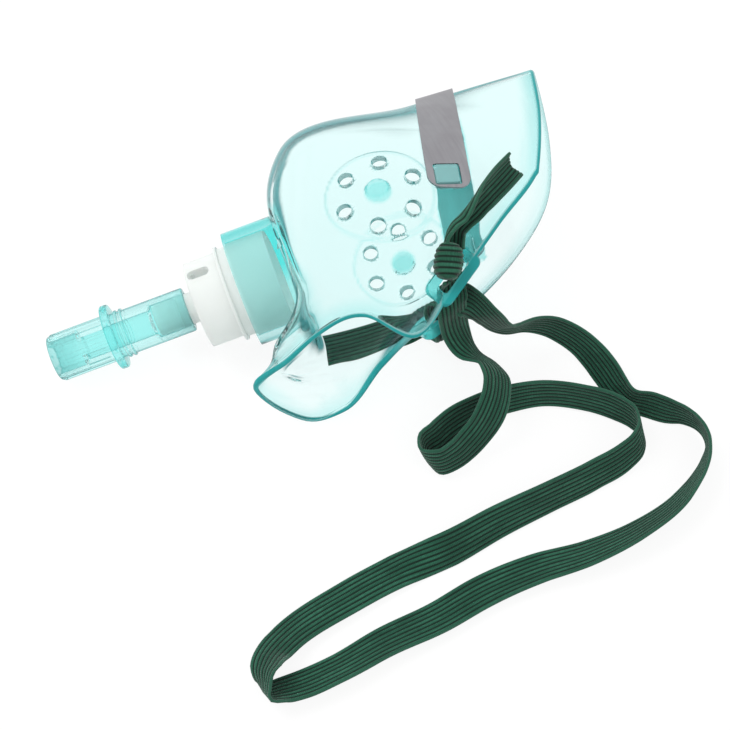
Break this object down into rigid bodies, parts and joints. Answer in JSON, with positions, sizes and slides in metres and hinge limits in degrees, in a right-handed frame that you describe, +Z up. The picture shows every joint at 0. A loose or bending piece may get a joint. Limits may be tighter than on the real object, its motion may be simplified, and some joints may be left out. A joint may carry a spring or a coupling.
{
  "type": "oxygen face mask",
  "caption": "Child's soft clear oxygen face mask lying on its side, with nose clip, vented cheeks, port collar, ribbed tubing connector and looped head strap.",
  "frame": {"origin": "on the table, below the middle of the box of the mask, clip, collar and connector", "axes": "+X from the tubing connector towards the nose end, +Z up from the table on which the mask lies on one cheek, +Y away from the face opening's lower edge"},
  "size_m": [0.1492, 0.1404, 0.0451],
  "materials": {
    "soft_vinyl": "clear soft vinyl with a faint cyan tint, darker where seen edge-on",
    "soft_aluminium": "brushed soft strip",
    "milky_plastic": "translucent milky plastic, satin",
    "tinted_plastic": "clear plastic with a cyan tint",
    "covered_elastic": "flat dark green ribbed elastic"
  },
  "bodies": {
    "root": {"mask_shell": "soft_vinyl", "nose_clip": "soft_aluminium", "port_collar": "milky_plastic", "tubing_connector": "tinted_plastic", "elastic_strap": "covered_elastic"}
  },
  "joints": []
}
